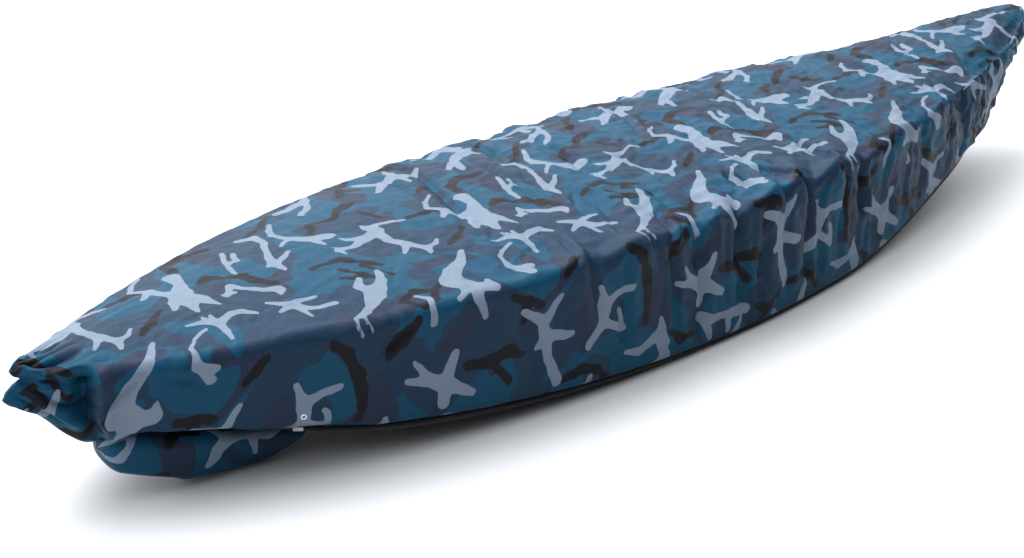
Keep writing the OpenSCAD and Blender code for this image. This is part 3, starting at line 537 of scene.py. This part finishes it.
# the deep fold behind the nose, on the near side
FOLD_X, FOLD_DEPTH = -1.545, 0.036
fold_x = FOLD_X - 0.012 * smooth(gs) + 0.03 * smooth(gs / 0.5) * smooth((gs - 0.5) / 0.4)
fold = bell(gx - fold_x, 0.014, 1.6) - 0.40 * bell(gx - fold_x - 0.032, 0.018)
out -= FOLD_DEPTH * fold * smooth((gs + 0.12) / 0.25) * near * (1 - 0.85 * smooth((gs - 0.62) / 0.36))
P = BASE + outward * out[:, :, None]
P[:, :, 2] += lift * tip_fade * lip_fade
P[:, :, 1] += np.sign(gy) * lift * 0.25 * (gs > -0.2) * tip_fade * lip_fade

# the near lower edge ahead of the hem: tucked in and raised over the roll, hanging again at the fold
tuck = smooth((-1.03 - gx) / 0.12) * (1 - smooth((-gx - 1.49) / 0.05)) * near
P[:, :, 1] += 0.026 * tuck * smooth((gs - 0.70) / 0.26)
raised = smooth((-gx - 1.25) / 0.10) * (1 - smooth((-gx - 1.440) / 0.060)) * near
P[:, :, 2] += 0.026 * raised * smooth((gs - 0.72) / 0.26) * smooth(np.abs(gy) / 0.05)
P[:, :, 2] -= 0.018 * bell(gx + 1.520, 0.042) * smooth((gs - 0.60) / 0.35) * near

# the stern tip turns down a little; the nose has a notch under its top knob
P[:, :, 2] -= 0.016 * smooth((gx - 1.585) / 0.062) ** 2 * smooth((gq + 0.02) / 0.03)
nose_tip = smooth((-gx - 1.585) / 0.06)
notch = 0.018 * bell(tall - 0.64, 0.15) + 0.010 * smooth((tall - 0.12) / 0.40)
P[:, :, 0] += nose_tip * (notch - 0.010 * (1 - tall) ** 3)
P[:, :, 2] += (0.016 * bell(gx + 1.605, 0.030) - 0.006 * nose_tip) * (1 - tall) ** 2
knob = bell(gx + 1.632, 0.020) * (np.abs(gs) < 3)
P[:, :, 2] += 0.012 * knob * smooth((gq + 0.01) / 0.02)
NRM = normals(P) * (-1 if FLIP else 1)
FIELDS = print_fields(gx, gv)
FIELDS["hem"] = (1 - gs) * length

# ---------------------------------------------------------------- materials


class Tree:
    """A small helper that lays nodes and links them."""

    def __init__(self, name):
        self.mat = bpy.data.materials.new(name)
        self.mat.use_nodes = True
        self.nt = self.mat.node_tree
        self.nt.nodes.clear()
        self.out = self.nt.nodes.new("ShaderNodeOutputMaterial")
        self.bsdf = self.nt.nodes.new("ShaderNodeBsdfPrincipled")
        self.nt.links.new(self.bsdf.outputs[0], self.out.inputs[0])

    def node(self, kind, inputs=None, **props):
        n = self.nt.nodes.new(kind)
        for k, val in props.items():
            setattr(n, k, val)
        for k, val in (inputs or {}).items():
            self.put(n.inputs[k], val)
        return n

    def put(self, socket, val):
        if isinstance(val, bpy.types.NodeSocket):
            self.nt.links.new(val, socket)
        else:
            socket.default_value = val

    def math(self, op, a, b=0.0, c=0.0):
        return self.node("ShaderNodeMath", {0: a, 1: b, 2: c}, operation=op).outputs[0]

    def mix(self, fac, a, b):
        n = self.nt.nodes.new("ShaderNodeMix")
        n.data_type = "RGBA"
        self.put(n.inputs[0], fac)
        self.put(n.inputs[6], a)
        self.put(n.inputs[7], b)
        return n.outputs[2]

    def ramp(self, val, lo, hi):
        return self.node("ShaderNodeMapRange", {0: val, 1: lo, 2: hi, 3: 0.0, 4: 1.0}).outputs[0]

    def noise(self, vec, scale, detail=2.0, rough=0.5, distortion=0.0):
        return self.node("ShaderNodeTexNoise", {"Vector": vec, "Scale": scale, "Detail": detail,
                                                "Roughness": rough, "Distortion": distortion}).outputs[0]

    def attribute(self, name):
        return self.node("ShaderNodeAttribute", attribute_name=name).outputs[2]

    def bump(self, height, distance, strength=1.0, normal=None):
        n = self.node("ShaderNodeBump", {"Height": height, "Distance": distance, "Strength": strength})
        if normal is not None:
            self.put(n.inputs["Normal"], normal)
        return n.outputs[0]

    def finish(self, **inputs):
        for k, val in inputs.items():
            self.put(self.bsdf.inputs[k.replace("_", " ")], val)
        return self.mat


def rgb(r, g, b):
    return (r, g, b, 1.0)


SLATE, TEAL, MAUVE = rgb(0.018, 0.044, 0.080), rgb(0.008, 0.069, 0.124), rgb(0.024, 0.036, 0.068)
DARK_BROWN, PALE_BLUE = rgb(0.012, 0.011, 0.014), rgb(0.190, 0.237, 0.303)
THREAD_PITCH, STITCH_PITCH, STITCH_FROM_HEM = 0.0011, 0.0042, 0.009


def cloth_material():
    t = Tree("printed_cloth")
    place = t.node("ShaderNodeTexCoord").outputs["Object"]
    cloth = t.node("ShaderNodeAttribute", attribute_name="cloth").outputs[1]
    light = t.ramp(t.attribute("light"), 0.0006, -0.0006)
    brown = t.ramp(t.attribute("brown"), 0.0016, -0.0016)
    teal = t.ramp(t.attribute("teal"), -0.006, 0.006)
    mauve = t.ramp(t.attribute("mauve"), -0.008, 0.008)
    dye = t.noise(cloth, 7.0, 3.0, 0.6)
    c = t.mix(teal, SLATE, TEAL)
    c = t.mix(mauve, c, MAUVE)
    c = t.mix(brown, c, DARK_BROWN)
    c = t.mix(light, c, PALE_BLUE)
    c = t.mix(t.math("MULTIPLY", dye, 0.10), c, rgb(0.04, 0.055, 0.08))
    threads = t.node("ShaderNodeSeparateXYZ", {0: cloth})
    warp = t.math("SINE", t.math("MULTIPLY", threads.outputs[0], 2 * math.pi / THREAD_PITCH))
    weft = t.math("SINE", t.math("MULTIPLY", threads.outputs[1], 2 * math.pi / THREAD_PITCH))
    weave = t.math("MULTIPLY", warp, weft)
    c = t.mix(t.math("MULTIPLY_ADD", weave, 0.03, 0.03), c, rgb(0.02, 0.025, 0.035))
    from_row = t.math("ABSOLUTE", t.math("SUBTRACT", t.attribute("hem"), STITCH_FROM_HEM))
    row = t.math("SUBTRACT", 1.0, t.ramp(from_row, 0.0004, 0.0009))
    dash = t.math("SINE", t.math("MULTIPLY", threads.outputs[0], 2 * math.pi / STITCH_PITCH))
    dash = t.ramp(dash, -0.35, -0.1)
    stitch = t.math("MULTIPLY", row, dash)
    c = t.mix(stitch, c, rgb(0.025, 0.027, 0.032))
    rough = t.math("MULTIPLY_ADD", t.noise(cloth, 24.0, 3.0), 0.16, 0.32)
    soft = t.noise(place, 13.0, 4.0, 0.55, 0.8)
    fine = t.noise(cloth, 55.0, 3.0, 0.6, 0.6)
    n = t.bump(soft, 0.010, 0.45)
    n = t.bump(fine, 0.0016, 0.45, n)
    n = t.bump(weave, 0.00005, 0.5, n)
    n = t.bump(stitch, 0.0005, 0.8, n)
    return t.finish(Base_Color=c, Roughness=rough, Normal=n, Specular_IOR_Level=0.12)


def lining_material():
    t = Tree("cloth_coating")
    cloth = t.node("ShaderNodeAttribute", attribute_name="cloth").outputs[1]
    tone = t.noise(cloth, 9.0, 4.0, 0.6)
    c = t.mix(tone, rgb(0.26, 0.275, 0.30), rgb(0.36, 0.375, 0.40))
    n = t.bump(t.noise(cloth, 60.0, 3.0, 0.6, 0.4), 0.0012, 0.4)
    rough = t.math("MULTIPLY_ADD", t.noise(cloth, 30.0), 0.18, 0.42)
    return t.finish(Base_Color=c, Roughness=rough, Normal=n, Metallic=0.25)


def woven_material(name, base, dark, pitch, depth, roughness):
    """Ribbed or woven narrow fabric, in object space."""
    t = Tree(name)
    place = t.node("ShaderNodeTexCoord").outputs["Object"]
    axes = t.node("ShaderNodeSeparateXYZ", {0: place})
    k = 2 * math.pi / pitch
    a = t.math("SINE", t.math("MULTIPLY", t.math("ADD", axes.outputs[0], axes.outputs[2]), k))
    b = t.math("SINE", t.math("MULTIPLY", t.math("SUBTRACT", axes.outputs[0], axes.outputs[1]), k))
    weave = t.math("MULTIPLY", a, b)
    wear = t.noise(place, 45.0, 4.0, 0.65)
    c = t.mix(t.math("MULTIPLY_ADD", weave, 0.35, 0.45), rgb(*base), rgb(*dark))
    c = t.mix(t.ramp(wear, 0.58, 0.82), c, rgb(*[min(1, v * 1.9 + 0.01) for v in base]))
    rough = t.math("MULTIPLY_ADD", wear, 0.2, roughness - 0.1)
    return t.finish(Base_Color=c, Roughness=rough, Normal=t.bump(weave, depth, 0.7), Sheen_Weight=0.15)


def plastic_material():
    t = Tree("moulded_plastic")
    place = t.node("ShaderNodeTexCoord").outputs["Object"]
    grain = t.noise(place, 900.0, 3.0, 0.6)
    scuff = t.noise(place, 60.0, 5.0, 0.7, 0.6)
    c = t.mix(t.ramp(scuff, 0.45, 0.8), rgb(0.020, 0.021, 0.024), rgb(0.050, 0.052, 0.058))
    rough = t.math("MULTIPLY_ADD", scuff, 0.25, 0.32)
    return t.finish(Base_Color=c, Roughness=rough, Normal=t.bump(grain, 0.0002, 0.5))


def metal_material(name, a, b, base_rough):
    t = Tree(name)
    place = t.node("ShaderNodeTexCoord").outputs["Object"]
    streak = t.noise(place, 300.0, 4.0, 0.7, 1.5)
    c = t.mix(streak, rgb(*a), rgb(*b))
    rough = t.math("MULTIPLY_ADD", streak, 0.22, base_rough)
    return t.finish(Base_Color=c, Roughness=rough, Metallic=1.0, Normal=t.bump(streak, 0.0001, 0.4))


MATERIALS = {
    "cloth": cloth_material(),
    "tape": woven_material("binding_tape", (0.030, 0.032, 0.038), (0.012, 0.013, 0.016), 0.0016, 0.00015,
                           0.8),
    "hem": woven_material("hem_binding", (0.016, 0.016, 0.019), (0.006, 0.006, 0.008), 0.0022, 0.0003, 0.75),
    "cord": woven_material("braided_cord", (0.030, 0.031, 0.035), (0.008, 0.008, 0.010), 0.0014, 0.0003, 0.7),
    "plastic": plastic_material(),
    "spring": metal_material("spring_wire", (0.55, 0.56, 0.58), (0.70, 0.71, 0.72), 0.22),
    "eyelet": metal_material("eyelet_metal", (0.52, 0.54, 0.57), (0.72, 0.74, 0.77), 0.26),
    "label": woven_material("label_ribbon", (0.60, 0.62, 0.67), (0.42, 0.44, 0.50), 0.0012, 0.0001, 0.6),
    "webbing": woven_material("strap_webbing", (0.022, 0.023, 0.026), (0.007, 0.007, 0.009), 0.0030, 0.0005,
                              0.7),
}
LINING = lining_material()
SLOT = {p["node"]: p["material_slot"] for p in frame["record"]["subparts"]}
for name, obj in frame["nodes"].items():
    mat = MATERIALS[SLOT[name]]
    if not obj.material_slots:
        obj.data.materials.append(mat)
    for ms in obj.material_slots:
        ms.material = mat

# ---------------------------------------------------------------- cloth pieces
THICK = 0.0010


def softened(N):
    """Normals averaged over their neighbours, which keeps the inner skin inside the outer one in a crease."""
    for axis in (0, 1, 0, 1):
        pad = [(1, 1) if k == axis else (0, 0) for k in range(3)]
        wide = np.pad(N, pad, mode="edge")
        N = wide.take(range(0, N.shape[axis]), axis) + 2 * N + wide.take(range(2, N.shape[axis] + 2), axis)
    return N / np.maximum(np.linalg.norm(N, axis=2, keepdims=True), 1e-9)


def inner_skin(P, N, thick):
    """The inner face of a sheet, nearer to the outer one where the cloth turns sharply."""
    soft = softened(N)
    along = (soft * N).sum(2, keepdims=True)
    steep = np.clip((0.6 - along) / 0.4, 0, 1)
    return P - ((1 - steep) * soft + steep * N) * thick * np.clip(along, 0.25, 1)


def sheet_faces(m, n, cap, flip):
    """Quads of a closed sheet of m by n points: both skins, the rim, and a flat cap over a pinched end.
    Both skins split their quads along the same diagonal, so that they don't cross."""
    i, j = np.meshgrid(np.arange(m - 1), np.arange(n - 1), indexing="ij")
    a = (i * n + j).ravel()
    quads = np.stack([a, a + n, a + n + 1, a + 1], 1)
    if flip:
        quads = quads[:, ::-1]
    skins = [quads, np.roll(quads[:, ::-1], 1, axis=1) + m * n]
    last = (m - 1) * n
    loop = np.concatenate([np.arange(n - 1), np.arange(n - 1, m * n - 1, n), np.arange(m * n - 1, last, -1),
                           np.arange(last, 0, -n)])
    ahead = np.roll(loop, -1)
    rim = np.stack([loop, loop + m * n, ahead + m * n, ahead], 1)
    if flip:
        rim = rim[:, ::-1]
    if cap is None:
        return np.concatenate(skins + [rim])
    k = np.arange(n // 2)
    row = last if cap == "last" else 0
    closing = np.stack([row + k, row + k + 1, row + n - 2 - k, row + n - 1 - k], 1)
    if n % 2 == 0:
        closing = closing[: n // 2 - 1]
    if (cap == "last") ^ flip:
        closing = closing[:, ::-1]
    faces = np.concatenate(skins + [rim, closing])
    return faces[[len(set(f)) == 4 for f in faces.tolist()]]


def shell(name, P, N, fields, coords, thick=THICK, cap=None, flip=False, slot="cloth"):
    """A closed thin sheet from a grid of points: printed outside, coated inside."""
    m, n = P.shape[:2]
    verts = np.concatenate([P.reshape(-1, 3), inner_skin(P, N, thick).reshape(-1, 3)])
    faces = sheet_faces(m, n, cap, flip)
    mesh = bpy.data.meshes.new(name)
    mesh.vertices.add(len(verts))
    mesh.vertices.foreach_set("co", verts.astype(np.float32).ravel())
    mesh.loops.add(len(faces) * 4)
    mesh.polygons.add(len(faces))
    mesh.polygons.foreach_set("loop_start", np.arange(0, len(faces) * 4, 4))
    mesh.loops.foreach_set("vertex_index", faces.ravel())
    coated = np.zeros(len(faces), int)
    if slot == "cloth":
        skin = (m - 1) * (n - 1)
        coated[skin: 2 * skin] = 1
    mesh.polygons.foreach_set("material_index", coated)
    mesh.polygons.foreach_set("use_smooth", np.ones(len(faces), bool))
    mesh.update(calc_edges=True)
    mesh.validate()
    for key, val in fields.items():
        at = mesh.attributes.new(key, "FLOAT", "POINT")
        at.data.foreach_set("value", np.tile(val.reshape(-1), 2).astype(np.float32))
    at = mesh.attributes.new("cloth", "FLOAT_VECTOR", "POINT")
    flat = np.concatenate([coords.reshape(-1, 2), np.zeros((m * n, 1))], 1)
    at.data.foreach_set("vector", np.tile(flat, (2, 1)).astype(np.float32).ravel())
    nn = np.concatenate([N.reshape(-1, 3), -N.reshape(-1, 3)])
    mesh.normals_split_custom_set_from_vertices(nn.astype(float).tolist())
    obj = bpy.data.objects.new(name, mesh)
    bpy.context.scene.collection.objects.link(obj)
    mesh.materials.append(MATERIALS[slot])
    if slot == "cloth":
        mesh.materials.append(LINING)
    return obj


COORDS = np.stack([gx, gv], 2)


def part_of_cloth(name, rows, cols, cap=None):
    r, c = slice(*rows), slice(*cols)
    fields = {key: field[r, c] for key, field in FIELDS.items()}
    return shell(name, P[r, c], NRM[r, c], fields, COORDS[r, c], cap=cap, flip=FLIP)


MID = (I_BOW, I_STERN + 1)
WHOLE = (0, 2 * N_HALF + 1)
deck = part_of_cloth("deck_sheet", MID, (N_HALF - N_DECK, N_HALF + N_DECK + 1))
port = part_of_cloth("port_curtain_sheet", MID, (0, N_HALF - N_DECK + 1))
starboard = part_of_cloth("starboard_curtain_sheet", MID, (N_HALF + N_DECK, 2 * N_HALF + 1))
bow = part_of_cloth("bow_nose_sheet", (0, I_BOW + 1), WHOLE, cap="first")
aft = part_of_cloth("stern_end_sheet", (I_STERN, len(X)), WHOLE, cap="last")
for obj, node in ((deck, "deck_cloth"), (port, "port_side_curtain"), (starboard, "starboard_side_curtain"),
                  (bow, "bow_panel"), (aft, "stern_panel")):
    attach(obj, "cover")
    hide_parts(node)

# ---------------------------------------------------------------- spare cloth rolled under the bow
ROLL_START, ROLL_LENGTH, ROLL_HALF_WIDTH = -1.522, 0.408, 0.045
ROLL_SHUT = 0.003                   # how far the ends of the roll stay open


def closing_in(t):
    """A round end: 0 at the end of the roll, 1 where it has its full section."""
    return np.sqrt(np.clip(1 - (1 - np.clip(t, 0, 1)) ** 2, ROLL_SHUT, 1))


def flattened(t, power):
    return np.sign(t) * np.abs(t) ** power


u = np.linspace(0, 1, 110)[:, None]
ang = np.linspace(0, 2 * math.pi, 72)[None, :]
end_size = closing_in(u / 0.07) * closing_in((1 - u) / 0.10)
rx = ROLL_START + ROLL_LENGTH * u + 0 * ang
top = bottom_z(rx[:, :1]) + 0.017 * smooth((-rx[:, :1] - 1.25) / 0.10) - 0.002 - 0.024 * u
base = np.maximum(0.008, np.maximum(0.084 - 0.200 * u, 0.165 * (u - 0.7)))
middle_y, middle_z, half_height = -0.056 - 0.068 * u, (top + base) / 2, (top - base) / 2
creases = np.abs(np.sin(2.5 * ang + 5 * u + 0.6 * np.sin(9 * u))) - 0.5
grow = 1 + 0.05 * np.cos(3 * ang + u * 9) + 0.05 * creases
ry = middle_y + ROLL_HALF_WIDTH * end_size * grow * flattened(np.cos(ang), 0.8)
rz = middle_z + half_height * end_size * np.minimum(grow, 1.02) * flattened(np.sin(ang), 0.72)
RP = np.stack([rx, ry, np.maximum(rz, 0.0015)], 2)
RN = normals(RP)
from_middle = RP - np.stack([rx, middle_y + 0 * ang, middle_z + 0 * ang], 2)
roll_flip = (RN * from_middle).sum(2).mean() < 0
if roll_flip:
    RN = -RN
RN[:, 0] = RN[:, -1] = (RN[:, 0] + RN[:, -1]) / 2
roll_v = -0.48 - 0.055 * ang + 0 * u        # the print runs round it
roll_fields = print_fields(rx, roll_v)
roll_fields["hem"] = 1.0 + 0 * rx           # far from any stitching
roll = shell("bow_roll_sheet", RP, RN, roll_fields, np.stack([rx, roll_v], 2), flip=roll_flip)
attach(roll, "cover")
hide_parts("bow_gather")

# ---------------------------------------------------------------- hem casings and seam tapes
CASING_W, CASING_H, CLOTH_GAP = 0.0065, 0.0070, 0.0003
CASING_THICK, TUBE_SIDES = 0.0008, 24
TAPE_THICK = 0.0006
END_TURN = 0.040                    # radius of the casing's turn at the ends of the hem


def tube(name, path, ring, swell, slot):
    """A sewn tube along a path of points, its radius scaled by swell(station, angle), and its length."""
    run = np.concatenate([[0], np.cumsum(np.linalg.norm(np.diff(path, axis=0), axis=1))])
    ahead = np.gradient(path, axis=0)
    side = np.stack([-ahead[:, 1], ahead[:, 0], 0 * ahead[:, 0]], 1)
    side /= np.linalg.norm(side, axis=1, keepdims=True)
    turn = np.linspace(0, 2 * math.pi, TUBE_SIDES + 1)[None, :]
    r = swell(run[:, None], turn)
    pts = (path[:, None, :] + side[:, None, :] * (ring[0] * r * np.cos(turn))[:, :, None]
           + np.array([0, 0, 1.0]) * (ring[1] * r * np.sin(turn))[:, :, None])
    nn = normals(pts)
    nn[:, 0] = nn[:, -1] = nn[:, 0] + nn[:, -1]
    nn /= np.linalg.norm(nn, axis=2, keepdims=True)
    inward = (nn * (pts - path[:, None, :])).sum() <= 0
    flat = np.stack(np.broadcast_arrays(run[:, None], turn * ring[1]), 2)
    obj = shell(name, pts, -nn if inward else nn, {}, flat, thick=CASING_THICK, flip=inward, slot=slot)
    return obj, float(run[-1])


def puckers(run, turn):
    """Gathers of the casing over its elastic, 8 to 14 mm apart."""
    wave = np.sin(run * 2 * math.pi / 0.0108 + 1.2 * np.sin(run * 17) + 0.9 * np.sin(turn))
    lie = np.sin(run * 2 * math.pi / 0.031 + 2 * turn)
    return 0.93 + 0.055 * (1 - 2 * np.abs(wave) ** 1.3) + 0.02 * lie


casing_x = HEM_X * np.sin(np.linspace(-math.pi / 2, math.pi / 2, 1150))
arc = np.radians(np.arange(30, 90, 6.0))
for side_name, sign in (("port", -1), ("starboard", 1)):
    end_x, end_y = HEM_X + END_TURN * np.cos(arc), END_TURN * np.sin(arc)
    run_x = np.concatenate([-end_x, casing_x, end_x[::-1]])
    run_y = np.concatenate([end_y, hem_y(casing_x), end_y[::-1]])
    run_z = bottom_z(np.clip(run_x, -HEM_X, HEM_X)) - CLOTH_GAP - CASING_H
    path = np.stack([run_x, sign * run_y, run_z], 1)
    casing, casing_run = tube(f"hem_casing_{side_name}_gathered", path, (CASING_W, CASING_H), puckers, "hem")
    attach(casing, "cover")
    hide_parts(f"hem_casing_{side_name}")
for end, at in (("bow", I_BOW), ("stern", I_STERN)):
    rows = slice(at - 2, at + 3)
    cols = slice(N_HALF - HEM_I + 6, N_HALF + HEM_I - 5)
    inside = P[rows, cols] - NRM[rows, cols] * (THICK + CLOTH_GAP)
    tape = shell(f"{end}_seam_tape_sewn", inside, NRM[rows, cols], {}, COORDS[rows, cols],
                 thick=TAPE_THICK, flip=FLIP, slot="tape")
    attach(tape, "cover")
    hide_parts(f"{end}_seam_tape")

# ---------------------------------------------------------------- floor and light
FLOOR_REACH, FLOOR_DROP = 30.0, 0.0005
SUN_POWER, SUN_ANGLE, SUN_FROM = 1.75, math.radians(38), Vector((-0.08, 0.38, 0.92))
DOME_MIDDLE, DOME_EDGE_POWER, DOME_POWER = Vector((-0.06, 0.46, 0.88)), 0.04, 2.35

floor_mesh = bpy.data.meshes.new("floor")
corners = [(-1, -1), (1, -1), (1, 1), (-1, 1)]
floor_mesh.from_pydata([(FLOOR_REACH * x, FLOOR_REACH * y, 0) for x, y in corners], [], [(0, 1, 2, 3)])
floor = bpy.data.objects.new("floor", floor_mesh)
bpy.context.scene.collection.objects.link(floor)
floor.location.z = -FLOOR_DROP
t = Tree("studio_floor")
tone = t.noise(t.node("ShaderNodeTexCoord").outputs["Object"], 3.0, 2.0)
pale = t.mix(tone, rgb(0.655, 0.655, 0.658), rgb(0.670, 0.670, 0.673))
floor_mesh.materials.append(t.finish(Base_Color=pale, Roughness=0.9))

sun_data = bpy.data.lights.new("key", "SUN")
sun_data.energy = SUN_POWER
sun_data.angle = SUN_ANGLE
sun_data.color = (1.0, 0.995, 0.98)
sun = bpy.data.objects.new("key", sun_data)
bpy.context.scene.collection.objects.link(sun)
sun.rotation_euler = (-SUN_FROM).to_track_quat("-Z", "Y").to_euler()

# one large soft source overhead and behind, brightest at its middle
world = bpy.data.worlds.new("studio")
bpy.context.scene.world = world
world.use_nodes = True
wt = world.node_tree
ray = wt.nodes.new("ShaderNodeTexCoord").outputs["Generated"]
dot = wt.nodes.new("ShaderNodeVectorMath")
dot.operation = "DOT_PRODUCT"
wt.links.new(ray, dot.inputs[0])
dot.inputs[1].default_value = DOME_MIDDLE.normalized()
glow = wt.nodes.new("ShaderNodeMapRange")
glow.interpolation_type = "SMOOTHSTEP"
for k, val in enumerate((0.0, 1.0, DOME_EDGE_POWER, DOME_POWER)):
    glow.inputs[k + 1].default_value = val
wt.links.new(dot.outputs["Value"], glow.inputs[0])
wt.links.new(glow.outputs[0], wt.nodes["Background"].inputs[1])
wt.nodes["Background"].inputs[0].default_value = (0.93, 0.96, 1.0, 1.0)
bpy.context.scene.view_settings.view_transform = "Standard"
bpy.context.scene.view_settings.look = "Medium High Contrast"
